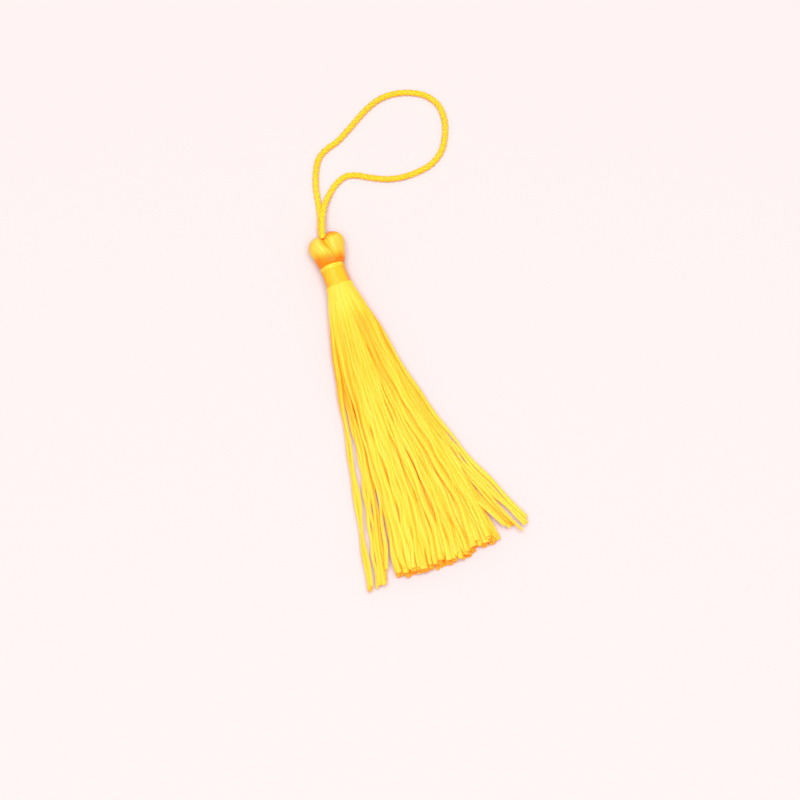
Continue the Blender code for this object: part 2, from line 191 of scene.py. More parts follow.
SHARP_FROM = math.radians(60.0)  # edges sharper than this stay sharp
FIBRE_MAP = "fibre_map"  # u runs round a strand, v along it in metres
FIBRE_START = 3.0  # a strand's v starts anywhere up to this, so no two look alike
TONE = "tone"  # each strand's tone, 0 deep and 1 light: its own random shade together with painted shade and painted highlight


def ramp(value, start, end):
    """Rise smoothly from 0 at start to 1 at end; start may be the larger of the two."""
    share = np.clip((np.asarray(value, float) - start) / (end - start), 0.0, 1.0)
    return share * share * (3.0 - 2.0 * share)


def mix(low, high, share):
    return low + (high - low) * share


def unit(vectors):
    return vectors / np.linalg.norm(vectors, axis=-1, keepdims=True)


def smooth_between(places, values, wanted):
    """Values at the wanted places, on a smooth curve through the rows of a table."""
    places, values = np.asarray(places, float), np.asarray(values, float)
    wanted = np.clip(np.asarray(wanted, float), places[0], places[-1])
    slopes = np.gradient(values, places, axis=0)
    index = np.clip(np.searchsorted(places, wanted, side="right") - 1, 0, len(places) - 2)
    span = places[index + 1] - places[index]
    share = (wanted - places[index]) / span
    if values.ndim > 1:
        share, span = share[..., None], span[..., None]
    square, cube = share ** 2, share ** 3
    return ((2 * cube - 3 * square + 1) * values[index]
            + (cube - 2 * square + share) * span * slopes[index]
            + (3 * square - 2 * cube) * values[index + 1]
            + (cube - square) * span * slopes[index + 1])


def read_table(rows, wanted):
    """A table's other columns, at any places of its first one."""
    return np.moveaxis(smooth_between(rows[:, 0], rows[:, 1:], wanted), -1, 0)


class Draft:
    """Tubes gathered as arrays, and made into one object at the end."""

    def __init__(self):
        self.points, self.faces, self.face_uvs, self.tones, self.slots = [], [], [], [], []
        self.count = 0

    def add_tube(self, rings, lengthwise, tone, cap_slot=0):
        """rings is (stations, sides, 3), and lengthwise the distance of each station along the tube."""
        stations, sides = rings.shape[:2]
        station = np.arange(stations - 1)[:, None]
        side = np.arange(sides)[None, :]
        first = station * sides + side
        second = station * sides + (side + 1) % sides
        quads = np.stack([first, second, second + sides, first + sides], -1).reshape(-1, 4)
        near = np.broadcast_to(lengthwise[:-1, None], first.shape)
        far = np.broadcast_to(lengthwise[1:, None], first.shape)
        low = np.broadcast_to(side / sides, first.shape)
        high = np.broadcast_to((side + 1) / sides, first.shape)
        quad_uvs = np.stack([low, near, high, near, high, far, low, far], -1).reshape(-1, 4, 2)
        self.faces.extend((quads + self.count).tolist())
        self.face_uvs.append(quad_uvs.reshape(-1, 2))
        self.slots.extend([0] * len(quads))
        self.points.append(rings.reshape(-1, 3))
        total = stations * sides
        for ring, turned in ((0, True), (stations - 1, False)):
            corners = list(range(self.count + ring * sides, self.count + (ring + 1) * sides))
            self.faces.append(corners[::-1] if turned else corners)
            angles = np.arange(sides) / sides
            uv = np.stack([angles, np.full(sides, lengthwise[ring])], -1)
            self.face_uvs.append(uv[::-1] if turned else uv)
            self.slots.append(cap_slot)
        self.tones.append(np.broadcast_to(tone, total))
        self.count += total

    def make(self, name, materials):
        """Build the object, with its fibre map and each strand's own shade."""
        mesh = bpy.data.meshes.new(name)
        mesh.from_pydata(np.concatenate(self.points).tolist(), [], self.faces)
        uv_map = mesh.uv_layers.new(name=FIBRE_MAP)
        uv_map.data.foreach_set("uv", np.concatenate(self.face_uvs).ravel().astype(np.float32))
        tone = mesh.attributes.new(TONE, "FLOAT", "POINT")
        tone.data.foreach_set("value", np.concatenate(self.tones).astype(np.float32))
        for material in materials:
            mesh.materials.append(material)
        mesh.polygons.foreach_set("material_index", self.slots)
        mesh.shade_smooth()
        mesh.set_sharp_from_angle(angle=SHARP_FROM)
        return link_object(name, mesh)


def level_frames(path):
    """For each point of the path, a side that lies level and an up that is square to both."""
    ahead = unit(np.gradient(path, axis=0))
    side = unit(np.cross(np.array((0.0, 0.0, 1.0)), ahead)) * -1.0
    return side, np.cross(ahead, side)


def lengths_along(path):
    steps = np.linalg.norm(np.diff(path, axis=0), axis=1)
    return np.concatenate([[0.0], np.cumsum(steps)])


def section_angles(sides):
    """Angles round a tube's section, from its lowest point on."""
    return FULL_TURN * np.arange(sides) / sides - math.pi / 2.0


def rings_round(path, first, first_offset, second, second_offset):
    """Rings of points beside a path, offset in two directions and kept above the table."""
    rings = (path[:, None, :] + first[:, None, :] * first_offset[..., None]
             + second[:, None, :] * second_offset[..., None])
    rings[..., 2] = np.maximum(rings[..., 2], 0.0)
    return rings


# ---- Materials ----

# Three colours by shade, then the surface: fibres and stretch are the fibre pattern's fineness round
# and along a strand, bump and relief its strength and height, patches the share of soft patches.
YarnLook = namedtuple("YarnLook", "deep middle light roughness gloss fibres stretch bump relief "
                      "scatter patches")
SKIRT_LOOK = YarnLook((0.96, 0.27, 0.006), (0.97, 0.41, 0.020), (0.98, 0.49, 0.046),
                      0.52, 0.35, 3.2, 300.0, 0.16, 0.00004, 0.25, 0.90)
HEAD_LOOK = YarnLook((0.96, 0.185, 0.001), (0.97, 0.39, 0.012), (0.98, 0.55, 0.095),
                     0.38, 0.25, 3.2, 300.0, 0.14, 0.00004, 0.60, 0.70)
BINDING_LOOK = YarnLook((0.96, 0.24, 0.002), (0.97, 0.39, 0.012), (0.98, 0.54, 0.038),
                        0.36, 0.42, 2.0, 400.0, 0.22, 0.00003, 0.60, 0.70)
CORD_LOOK = YarnLook((0.95, 0.24, 0.003), (0.97, 0.37, 0.008), (0.98, 0.50, 0.026),
                     0.55, 0.25, 1.5, 60.0, 0.05, 0.00002, 0.95, 0.15)
PATCH_SCALE = (420.0, 48.0, 300.0)  # soft patches of shade, long in the yarn's direction
OWN_SHARE, FIBRE_SHARE = 0.45, 0.24  # how much of the shade comes from each cause
SHADE_OFFSET = 0.18
SHADE_STOPS = (0.02, 0.42, 0.90)  # where the deep, the middle and the light colour are reached
FIBRE_DETAIL = 3.0
FIBRE_NOISE_ROUGHNESS = 0.6
PATCH_DETAIL = 2.0
SCATTER_SCALE = 0.0006
SCATTER_REACH = (1.0, 0.50, 0.13)  # red light travels furthest through the yarn
SHEEN = 0.05
SHEEN_ROUGHNESS = 0.4
SHEEN_COLOUR = (1.0, 0.90, 0.45, 1.0)
SHINE_COLOUR = (1.0, 0.88, 0.58, 1.0)
# Painted shade: the cut faces are painted deep orange, as the end faces turn away from the light.
CUT_SHADES = ((0.35, (0.93, 0.14, 0.002, 1.0)), (0.70, (0.95, 0.21, 0.004, 1.0)))
CUT_SPECKLE_SCALE = 9000.0
CUT_SPECKLE_DETAIL = 2.0
CUT_ROUGHNESS = 0.8


def rgba(colour):
    return (*colour, 1.0)


def yarn_material(name, look):
    """Silky yarn: fine lengthwise fibres that vary in shade and stand up a little."""
    material, nodes, links, shader = new_material(name)
    uv_map = nodes.new("ShaderNodeUVMap")
    uv_map.uv_map = FIBRE_MAP
    parts = nodes.new("ShaderNodeSeparateXYZ")
    links.new(uv_map.outputs["UV"], parts.inputs["Vector"])
    own_tone = nodes.new("ShaderNodeAttribute")
    own_tone.attribute_name = TONE

    def math_node(kind, first, second):
        """A Math node; each input is a number, another node's output or None."""
        node = nodes.new("ShaderNodeMath")
        node.operation = kind
        for socket, value in zip(node.inputs, (first, second)):
            if isinstance(value, (int, float)):
                socket.default_value = value
            elif value is not None:
                links.new(value, socket)
        return node.outputs["Value"]

    turn = math_node("MULTIPLY", parts.outputs["X"], FULL_TURN)
    across = math_node("MULTIPLY", math_node("COSINE", turn, None), look.fibres)
    deep = math_node("MULTIPLY", math_node("SINE", turn, None), look.fibres)
    along = math_node("MULTIPLY", parts.outputs["Y"], look.stretch)
    place = nodes.new("ShaderNodeCombineXYZ")
    links.new(across, place.inputs["X"])
    links.new(deep, place.inputs["Y"])
    links.new(along, place.inputs["Z"])
    fibres = add_noise(nodes, links, place.outputs["Vector"], {
        "Scale": 1.0, "Detail": FIBRE_DETAIL, "Roughness": FIBRE_NOISE_ROUGHNESS})

    where = nodes.new("ShaderNodeTexCoord")
    stretched = nodes.new("ShaderNodeMapping")
    stretched.inputs["Scale"].default_value = PATCH_SCALE
    links.new(where.outputs["Object"], stretched.inputs["Vector"])
    patches = add_noise(nodes, links, stretched.outputs["Vector"], {
        "Scale": 1.0, "Detail": PATCH_DETAIL})

    shade = math_node("ADD", math_node("MULTIPLY", own_tone.outputs["Fac"], OWN_SHARE),
                      math_node("MULTIPLY", fibres, FIBRE_SHARE))
    shade = math_node("ADD", shade, math_node("MULTIPLY", patches, look.patches))
    shade = math_node("ADD", shade, SHADE_OFFSET - look.patches / 2.0)
    shades = (rgba(look.deep), rgba(look.middle), rgba(look.light))
    colour_by(nodes, links, shade, list(zip(SHADE_STOPS, shades)), shader.inputs["Base Color"])

    bump = nodes.new("ShaderNodeBump")
    set_inputs(bump, {"Strength": look.bump, "Distance": look.relief})
    links.new(fibres, bump.inputs["Height"])
    links.new(bump.outputs["Normal"], shader.inputs["Normal"])

    set_inputs(shader, {
        "Roughness": look.roughness, "Specular IOR Level": look.gloss,
        "Specular Tint": SHINE_COLOUR, "Sheen Weight": SHEEN,
        "Sheen Roughness": SHEEN_ROUGHNESS, "Sheen Tint": SHEEN_COLOUR,
        "Subsurface Weight": look.scatter, "Subsurface Radius": SCATTER_REACH,
        "Subsurface Scale": SCATTER_SCALE})
    return material


def cut_material():
    """The cut face of a strand: rough, finely speckled, and painted deeper orange as shade, since the
    end faces turn away from the light.
    """
    material, nodes, links, shader = new_material("cut_yarn")
    where = nodes.new("ShaderNodeTexCoord")
    speckle = add_noise(nodes, links, where.outputs["Object"], {
        "Scale": CUT_SPECKLE_SCALE, "Detail": CUT_SPECKLE_DETAIL})
    colour_by(nodes, links, speckle, CUT_SHADES, shader.inputs["Base Color"])
    set_inputs(shader, {"Roughness": CUT_ROUGHNESS})
    return material


# ---- Hanging cord ----

CORD_PLIES = 3
CORD_LAY = 0.0042  # length in which the plies make one turn
PLY_CENTRE = 0.00024  # from the cord's middle to a ply's middle
PLY_RADIUS = 0.00046
PLY_POINTS = 22  # points of the section on each ply
CORD_STEP = 0.00026
PLY_THREADS = 7  # fine threads that show round one ply
PLY_THREAD_HEIGHT = 0.000003
CORD_TONES = (1.10, 0.75)  # the cord is lighter near the head than in its loop
CORD_LIGHT_ENDS = (0.006, 0.020)
CORD_ROUTE = np.array((
    # across, along, height
    (-20, 236, 268),  # left leg's end, in the cleft
    (-10, 380, 258),
    (52, 610, 196),
    (128, 840, 112),
    (184, 1080, 74),
    (230, 1330, 73),
    (292, 1600, 73),
    (400, 1890, 73),
    (560, 2160, 73),
    (800, 2320, 73),
    (1110, 2420, 73),
    (1440, 2600, 73),
    (1770, 2800, 73),
    (2080, 2960, 73),
    (2400, 3055, 73),
    (2740, 3050, 73),
    (3080, 2950, 73),
    (3380, 2760, 73),  # far right of the loop
    (3565, 2460, 73),
    (3580, 2100, 73),
    (3470, 1740, 73),
    (3260, 1400, 73),
    (2940, 1180, 73),
    (2560, 1105, 73),
    (2180, 1110, 73),
    (1830, 1195, 73),
    (1510, 1350, 73),
    (1230, 1510, 73),
    (980, 1560, 73),
    (720, 1455, 76),
    (500, 1270, 104),  # the right leg climbs on to the left one
    (340, 1080, 186),
    (236, 920, 250),
    (150, 740, 312),
    (76, 540, 378),
    (24, 370, 424),
    (-8, 236, 436),  # right leg's end, in the cleft
)) / PER_METRE
CURVE_STEPS_PER_POINT = 24


def smooth_route(points):
    """A dense curve through the points: a Catmull-Rom curve whose ends run straight on."""
    ends = np.concatenate([[2 * points[0] - points[1]], points, [2 * points[-1] - points[-2]]])
    t = (np.arange(CURVE_STEPS_PER_POINT) / CURVE_STEPS_PER_POINT)[:, None]
    dense = []
    for before, start, end, after in zip(ends, ends[1:], ends[2:], ends[3:]):
        dense.append(0.5 * (2 * start + (end - before) * t
                            + (2 * before - 5 * start + 4 * end - after) * t ** 2
                            + (3 * start - before - 3 * end + after) * t ** 3))
    dense.append(points[-1:])
    return np.concatenate(dense)


def even_path(dense, step):
    """The same curve with its points the same distance apart, about one step."""
    travelled = lengths_along(dense)
    count = round(travelled[-1] / step)
    wanted = np.linspace(0.0, travelled[-1], count + 1)
    return np.stack([np.interp(wanted, travelled, dense[:, axis]) for axis in range(3)], -1)


def carried_frames(path, first_side):
    """Sides and ups that are square to the path and don't turn round it."""
    ahead = unit(np.gradient(path, axis=0))
    sides = np.empty_like(path)
    side = np.asarray(first_side, float)
    for number, direction in enumerate(ahead):
        side = side - direction * side.dot(direction)
        side = side / np.linalg.norm(side)
        sides[number] = side
    return sides, np.cross(ahead, sides)


def ply_outline():
    """The cord's section, the outer line of its three round plies: angles, radii, and the angles
    round each ply's own middle."""
    angles = np.arange(CORD_PLIES * PLY_POINTS) / (CORD_PLIES * PLY_POINTS) * FULL_TURN
    from_ply = (angles + math.pi / CORD_PLIES) % (FULL_TURN / CORD_PLIES) - math.pi / CORD_PLIES
    chord = PLY_CENTRE * np.cos(from_ply)
    radii = chord + np.sqrt(np.maximum(PLY_RADIUS ** 2 - (PLY_CENTRE * np.sin(from_ply)) ** 2, 0.0))
    round_ply = np.arctan2(radii * np.sin(from_ply), radii * np.cos(from_ply) - PLY_CENTRE)
    return angles, radii, round_ply


def make_hanging_cord(material):
    path = even_path(smooth_route(CORD_ROUTE), CORD_STEP)
    lengthwise = lengths_along(path)
    sides, ups = carried_frames(path, (0.0, 0.0, 1.0))
    angles, radii, round_ply = ply_outline()
    twist = FULL_TURN * lengthwise / CORD_LAY
    turned = angles[None, :] + twist[:, None]
    size = (radii + PLY_THREAD_HEIGHT * np.cos(PLY_THREADS * round_ply))[None, :]
    rings = rings_round(path, sides, size * np.cos(turned), ups, size * np.sin(turned))
    draft = Draft()
    from_head = np.minimum(lengthwise, lengthwise[-1] - lengthwise)
    tone = mix(*CORD_TONES, ramp(from_head, *CORD_LIGHT_ENDS))
    draft.add_tube(rings, lengthwise, np.repeat(tone, len(angles)))
    cord = draft.make("hanging_cord_plies", [material])
    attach(cord, BODY)
    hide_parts("hanging_cord")


# ---- Head, neck and core ----

BODY_AXIS_HEIGHT = 0.00355
BODY_ROWS = np.array((
    # along, centre, half width, half height
    (-960, -32, 190, 190),
    (-480, -37, 190, 190),
    (-440, -36, 206, 204),
    (-415, -30, 242, 236),
    (-388, -20, 276, 266),
    (-350, -12, 297, 284),
    (-300, -6, 310, 298),
    (-235, 0, 326, 316),
    (-140, 7, 350, 342),
    (-50, 12, 374, 362),
    (40, 14, 396, 372),
    (110, 15, 400, 374),
    (175, 12, 384, 360),
    (228, 8, 350, 328),
    (267, 3, 306, 286),
    (295, 0, 254, 238),
    (312, 0, 196, 184),
    (321, 0, 130, 122),
    (324, 0, 62, 60),
)) / PER_METRE
HEAD_START = -0.00400
FOLD_TURN_FULL = -0.00300  # from here up the threads run with the fold
FOLD_LIFTED = (-0.2, 0.5)  # the fold is on top: sines of the angles where it begins and is full
NORMAL_STEP = 1e-3
CLEFT_PLACE = -0.00010
CLEFT_HALF_WIDTH = 0.00085
CLEFT_DEPTH = 0.00060
CLEFT_STARTS = 0.00080
CLEFT_IS_FULL = 0.00280
POCKET_HALF_WIDTH = 0.00112
POCKET_HALF_HEIGHT = 0.00196
POCKET_DEPTH = 0.00060
POCKET_STARTS = 0.00190
POCKET_WALL_POWER = 6
LOBE_LEAN = 0.080

# The fold between the two lobes: it starts in the cleft and wanders to the right down the head.
CREASE_POWER = 1.4
CREASE_ROWS = np.array((
    # along, across, depth, half width
    (-300, 82, 0, 50),
    (-215, 74, 12, 52),
    (-120, 50, 45, 55),
    (-30, 4, 80, 60),
    (60, -34, 110, 66),
    (160, -40, 140, 74),
    (250, -30, 160, 82),
    (350, -16, 160, 86),
)) / PER_METRE
CREASE_DEEPEST = 0.65  # as a share of the body's half height

HEAD_THREADS = 54
HEAD_THREAD_SIDES = 10
HEAD_THREAD_STATIONS = 52
HEAD_FIRST_ROW = 1.3
HEAD_LAST_ROW = len(BODY_ROWS) - 1.15
HEAD_PLACE_JITTER = 0.16  # of the space between two threads
HEAD_THREAD_FLATNESS = 0.55  # a head thread's height over its width
HEAD_THREAD_OVERLAP = 1.30
HEAD_THREAD_WIDEST = 0.00034
HEAD_THREAD_SIZES = (0.90, 1.10)
HEAD_THREAD_LAY = 0.0046  # length of one turn of its twist
HEAD_THREAD_LOBE = 0.06  # how far two lobes stand out from its oval section
HEAD_THREAD_LIFT = 0.00003  # and how unevenly the threads stand up
HEAD_WANDER = 0.022  # how far a thread strays round the head, in radians
HEAD_WANDER_SPEEDS = (0.30, 0.65)  # radians for each row of the body
HEAD_TONES = (0.66, 0.90)
HEAD_FOOT_TONE = 0.70
HEAD_DEEP_BELOW = (-0.0034, -0.0007)  # painted shade: the head's foot is painted deeper in colour, as shade where it curves under towards the neck
HEAD_DEEP_SLANT = 0.22  # and reaches higher at the left
FOLD_TONE = 0.80  # painted shade: the yarn down in the fold between the lobes is painted deeper
FOLD_HALF_WIDTH = 0.00045
FOLD_DEEP = 0.0007  # a fold this deep has its full painted shade
RIM_TONE = 1.20  # painted shade: the right lobe's top rim, where the yarn turns down behind the cord away from the light, is painted deeper
RIM_PLACE = (0.0010, 0.0024)
RIM_LEFT = (-0.0004, 0.0002)
RIM_RIGHT = (0.0036, 0.0022)
CORE_SINK = 0.00013  # the core's surface lies this far under the threads' middles
CORE_SIDES = 96
CORE_STATIONS = 72
# painted shade: the core, which shows only in the gaps between the threads, is painted deep
CORE_TONE = 0.1
CORE_FLOOR = 0.00002  # the core stays this far off the table
CORE_END_MARGIN = 0.01  # its end normals are taken this far inside, in rows


def body_surface(row_number, angle):
    """Points of the head and neck; both arguments are arrays of one shape."""
    along, centre, half_width, half_height = np.moveaxis(
        smooth_between(np.arange(len(BODY_ROWS)), BODY_ROWS, row_number), -1, 0)
    lifted = ramp(np.sin(angle), *FOLD_LIFTED)
    crease_place, crease_depth, crease_width = read_table(CREASE_ROWS, along)
    # The threads run with the fold: near it they are turned to its place.
    toward = np.arccos(np.clip((crease_place - centre) / half_width, -1.0, 1.0)) - math.pi / 2.0
    on_top = np.maximum(np.sin(angle), 0.0) ** 2
    turned = angle + toward * on_top * ramp(along, HEAD_START, FOLD_TURN_FULL)
    across = centre + half_width * np.cos(turned)
    rise = half_height * np.sin(turned)
    crease = np.exp(-np.abs((across - crease_place) / crease_width) ** CREASE_POWER) * lifted
    rise = rise * (1.0 - np.minimum(crease * crease_depth / half_height, CREASE_DEEPEST))
    parting = np.exp(-((across - CLEFT_PLACE) / CLEFT_HALF_WIDTH) ** 2)
    pocket = np.exp(-((across - CLEFT_PLACE) / POCKET_HALF_WIDTH) ** POCKET_WALL_POWER
                    - (rise / POCKET_HALF_HEIGHT) ** POCKET_WALL_POWER)
    place = (along - CLEFT_DEPTH * parting * ramp(along, CLEFT_STARTS, CLEFT_IS_FULL)
             - POCKET_DEPTH * pocket * ramp(along, POCKET_STARTS, CLEFT_IS_FULL)
             + LOBE_LEAN * across * ramp(along, HEAD_START, CLEFT_IS_FULL))
    return np.stack([across, place, BODY_AXIS_HEIGHT + rise], -1)


def body_normal(row_number, angle):
    step = NORMAL_STEP
    along = body_surface(row_number + step, angle) - body_surface(row_number - step, angle)
    around = body_surface(row_number, angle + step) - body_surface(row_number, angle - step)
    return unit(np.cross(along, around))


def make_core(material):
    """The closed body of packed yarn that shows between the threads, painted deep as the shade in those
    gaps.
    """
    levels = np.linspace(0.0, len(BODY_ROWS) - 1.0, CORE_STATIONS)
    angles = section_angles(CORE_SIDES)
    level_grid, angle_grid = np.meshgrid(levels, angles, indexing="ij")
    inner = np.clip(level_grid, CORE_END_MARGIN, len(BODY_ROWS) - 1.0 - CORE_END_MARGIN)
    rings = body_surface(level_grid, angle_grid) - body_normal(inner, angle_grid) * CORE_SINK
    rings[..., 2] = np.maximum(rings[..., 2], CORE_FLOOR)
    draft = Draft()
    draft.add_tube(rings[:, ::-1], lengths_along(rings[:, 0]), CORE_TONE)
    core = draft.make("packed_yarn_core", [material])
    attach(core, BODY)
    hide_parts("folded_yarn")


def head_thread_rings(rows, angle, girth, chooser):
    """One thread laid over the head: its middle line, and its rings of points."""
    path = body_surface(rows, angle)
    outward = body_normal(rows, angle)
    ahead = unit(np.gradient(path, axis=0))
    side = unit(np.cross(outward, ahead))
    outward = np.cross(ahead, side)
    half_width = girth / HEAD_THREADS / 2.0 * HEAD_THREAD_OVERLAP * chooser.uniform(*HEAD_THREAD_SIZES)
    half_width = np.minimum(half_width, HEAD_THREAD_WIDEST)
    half_height = half_width * HEAD_THREAD_FLATNESS
    twist = FULL_TURN * (lengths_along(path) / HEAD_THREAD_LAY + chooser.random())
    turns = section_angles(HEAD_THREAD_SIDES)
    lobe = 1.0 + HEAD_THREAD_LOBE * np.cos(2.0 * (turns[None, :] - twist[:, None]))
    lift = chooser.uniform(-HEAD_THREAD_LIFT, HEAD_THREAD_LIFT)
    upward = lift + half_height[:, None] * lobe * np.sin(turns)[None, :]
    sideways = half_width[:, None] * lobe * np.cos(turns)[None, :]
    return path, rings_round(path, outward, upward, side, sideways)


def head_thread_tone(path, along, chooser):
    """The thread's tone along it: its own random tone, with painted shade at the head's foot, in the
    fold and at the rim.
    """
    crease_place, crease_depth, _ = read_table(CREASE_ROWS, path[:, 1])
    # Painted shade: the yarn down in the fold is painted deeper.
    in_fold = np.exp(-((path[:, 0] - crease_place) / FOLD_HALF_WIDTH) ** 2)
    in_fold = in_fold * (path[:, 2] > BODY_AXIS_HEIGHT) * ramp(crease_depth, 0.0, FOLD_DEEP)
    # Painted shade: the head's foot is painted deeper, as if in shade where it curves under.
    painted_foot_shade = 1.0 - ramp(along + HEAD_DEEP_SLANT * path[:, 0], *HEAD_DEEP_BELOW)
    tone = mix(*HEAD_TONES, chooser.random()) * (1.0 - painted_foot_shade) - HEAD_FOOT_TONE * painted_foot_shade
    # Painted shade: the right lobe's rim behind the cord is painted deeper.
    at_rim = ramp(along, *RIM_PLACE) * ramp(path[:, 0], *RIM_LEFT) * ramp(path[:, 0], *RIM_RIGHT)
    return tone - FOLD_TONE * in_fold - RIM_TONE * at_rim


def make_head_threads(material, chooser):
    draft = Draft()
    rows = np.linspace(HEAD_FIRST_ROW, HEAD_LAST_ROW, HEAD_THREAD_STATIONS)
    table = smooth_between(np.arange(len(BODY_ROWS)), BODY_ROWS, rows)
    girth = FULL_TURN * np.sqrt((table[:, 2] ** 2 + table[:, 3] ** 2) / 2.0)
    for number in range(HEAD_THREADS):
        phase = chooser.uniform(0.0, FULL_TURN)
        speed = chooser.uniform(*HEAD_WANDER_SPEEDS)
        stray = HEAD_WANDER * np.sin(phase + rows * speed)
        place = number + chooser.uniform(-HEAD_PLACE_JITTER, HEAD_PLACE_JITTER)
        angle = FULL_TURN * place / HEAD_THREADS + stray
        path, rings = head_thread_rings(rows, angle, girth, chooser)
        tone = head_thread_tone(path, table[:, 0], chooser)
        lengthwise = lengths_along(path) + FIBRE_START * chooser.random()
        draft.add_tube(rings, lengthwise, np.repeat(tone, HEAD_THREAD_SIDES))
    threads = draft.make("head_threads", [material])
    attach(threads, BODY)


# ---- Skirt ----

STRAND_ROOT_ALONG = -0.0100  # where the skirt's rows below are counted from
SKIRT_ROWS = np.array((
    # down, left, right, lift, strand width
    (0, -314, 250, 80, 46),
    (350, -430, 395, 50, 52),
    (800, -572, 480, 18, 59),
    (1400, -726, 580, 0, 65),
    (2100, -878, 700, 0, 69),
    (2850, -1015, 850, 0, 72),
    (3600, -1160, 1065, 0, 74),
    (4350, -1320, 1340, 0, 75),
    (5100, -1485, 1630, 0, 76),
    (5850, -1640, 1955, 0, 77),
    (6600, -1775, 2225, 0, 78),
)) / PER_METRE
SKIRT_TIPS = SKIRT_ROWS[-1, 0] + 0.0003
FAN_STATIONS = (0.0360, 0.0510, 0.0660)  # where the strands' places below are given

# The main body of the fan, between its outer strands.
MAIN_STRANDS = 104
MAIN_LEFT = (-0.0067, -0.0080, -0.0107)
MAIN_RIGHT = (0.0074, 0.0116, 0.0129)
MAIN_FULLNESS = (0.82, 1.14)
FAN_MARGIN = 0.004  # no strand strays nearer to the fan's edge, as a share
# Strands that part from it at both sides: places at the three stations, the cut length, and how
# full the strand is beside the others.
EDGE_STRANDS = (
    # first  second   third    length  fullness
    (-0.0112, -0.0144, -0.0175, 0.0668, 0.72),
    (-0.0107, -0.0138, -0.0170, 0.0662, 0.68),
    (-0.0089, -0.0122, -0.0156, 0.0667, 0.72),
    (-0.0084, -0.0113, -0.0149, 0.0666, 0.76),
    (-0.0080, -0.0105, -0.0144, 0.0668, 0.76),
    (-0.0075, -0.0096, -0.0140, 0.0656, 0.72),
    (-0.0070, -0.0088, -0.0134, 0.0638, 0.66),
    (0.0058, 0.0087, 0.0184, 0.0637, 0.76),
    (0.0064, 0.0096, 0.0189, 0.0641, 0.80),
    (0.0071, 0.0105, 0.0195, 0.0635, 0.80),
    (0.0078, 0.0114, 0.0199, 0.0638, 0.80),
    (0.0085, 0.0123, 0.0197, 0.0659, 0.66),
    (0.0091, 0.0132, 0.0217, 0.0646, 0.76),
    (0.0097, 0.0143, 0.0222, 0.0641, 0.76),
    (0.0103, 0.0153, 0.0227, 0.0631, 0.72),
)
TRIM_SPREAD = 0.0010  # the cut is uneven by this much, strand by strand
TUFT_TRIM = 0.0004  # and by this much, tuft by tuft
# The cut across the fan's main body: the place as a share, and how much longer the strands are.
CUT_ROWS = (
    # share, longer
    (0.00, 0.0000),
    (0.12, 0.0005),
    (0.25, 0.0010),
    (0.33, 0.0012),
    (0.41, 0.0007),
    (0.55, 0.0012),
    (0.70, 0.0005),
    (0.85, -0.0001),
    (1.00, 0.0001),
)
TRIM_OVER_PILE = 0.25  # strands on top of the pile end this much of their height sooner
ROOT_ORDER_NOISE = 0.07
OUTER_RING = 0.86  # strands beyond this share of the neck's radius lie on its rim
FAN_NOISE = (0.014, 0.026, 0.045)  # how far neighbours change places at the stations
# The strands gather into tufts: how many there are, how strongly they draw, and where they begin.
TUFTS = ((6, 0.30, 0.15), (11, 0.55, 0.60), (15, 0.80, 0.35))
WAVE_HEIGHT = 0.00028  # a strand's long wave to the sides
WAVE_GROWS = (0.006, 0.050)
WAVE_LENGTHS = (0.024, 0.045)
EDGE_CALM = 6.0  # the higher, the nearer to the fan's edges the waves reach
REACH_SHARE = 0.97  # of half the strand's width: how near two strands may come
HELD_UNTIL = 0.0050  # the neck holds the strands in a round down to here
FREE_FROM = 0.0060  # and they sink freely from here
HEAP_FLATNESS = 0.4  # the heap starts flattened to this share of its height, from HEAP_FLAT_AT on
HEAP_FLAT_AT = 0.060
SETTLE_STEP = 0.0015  # between the stations at which the strands are settled
SETTLE_ROUNDS = 170
LAST_ROUNDS = 24
SMOOTH_ROUNDS = 10
SMOOTHING = 0.5
SIDE_PULL = 0.10
SINK_PER_ROUND = 0.000010
PUSH = 0.28
STIFFNESS = 0.62
NO_DISTANCE = 1e-9  # keeps a division by nothing away
COVER_WITHIN = 0.7  # a strand covers one nearer than this to the side, in strand widths
COVER_ABOVE = 0.45  # and lower by more than this
FULL_COVER = 2.0  # this many strands cover one wholly
PINCH_STARTS = -0.00084  # above this the strands draw in under the binding
PINCH_ENDS = -0.00120
PINCH = 0.84
NECK_DOWN = -0.00160  # where the strands end, hidden under the binding
STRAND_STEP = 0.00080
SPREAD_BY = 0.0300  # by here a strand has the width that it has in the fan
END_ROUNDING = 0.00036  # the last bit of a strand is rounded off
END_STEPS = (0.45, 0.0)  # stations in that bit, as shares of it from the end
END_LOSS = 0.72  # how much of its section's area is lost there
NECK_STEP = 0.00014
PLIES = 2
PLY_SIDES = 9
STRAND_LAY = (0.0180, 0.0340)  # length in which a strand's two plies make one turn
STRAND_FLATNESS = (0.50, 0.48)  # height over width at the neck and at the tips
PLY_SHARE = 0.78  # a ply's width and height over the strand's
PLY_OFFSET = (0.20, 0.27)  # and how far it stands from the strand's middle, at neck and tips
PLY_TRIM = 0.00045  # one ply may end this much before the other
PLY_SHORTER_BY = (0, 0, 1)  # and by one of these numbers of stations
PLY_TONE_SPREAD = 0.08
NECK_OVERLAP = 2.20  # squeezed strands are wider than their share of the neck
TIP_OVERLAP = 1.58
NECK_SHADE = 1.00  # painted highlight: the tight yarn at and just below the binding loses its own random tone and is painted light and even, for the sheen of the smooth dome
NECK_SHADE_ENDS = (0.003, 0.009)
UPPER_TONES = (-0.10, 0.85)  # each strand's own random tone; where strands still lie close together in the upper part its spread reaches deeper, painted shade for the dark lines between them
LOWER_TONES = (0.55, 0.95)
LOWER_STARTS = (0.018, 0.040)
SIDE_TONE = 0.35  # painted shade: the skirt's sides are painted this much deeper in its upper part, where the rounded bundle turns away from the light
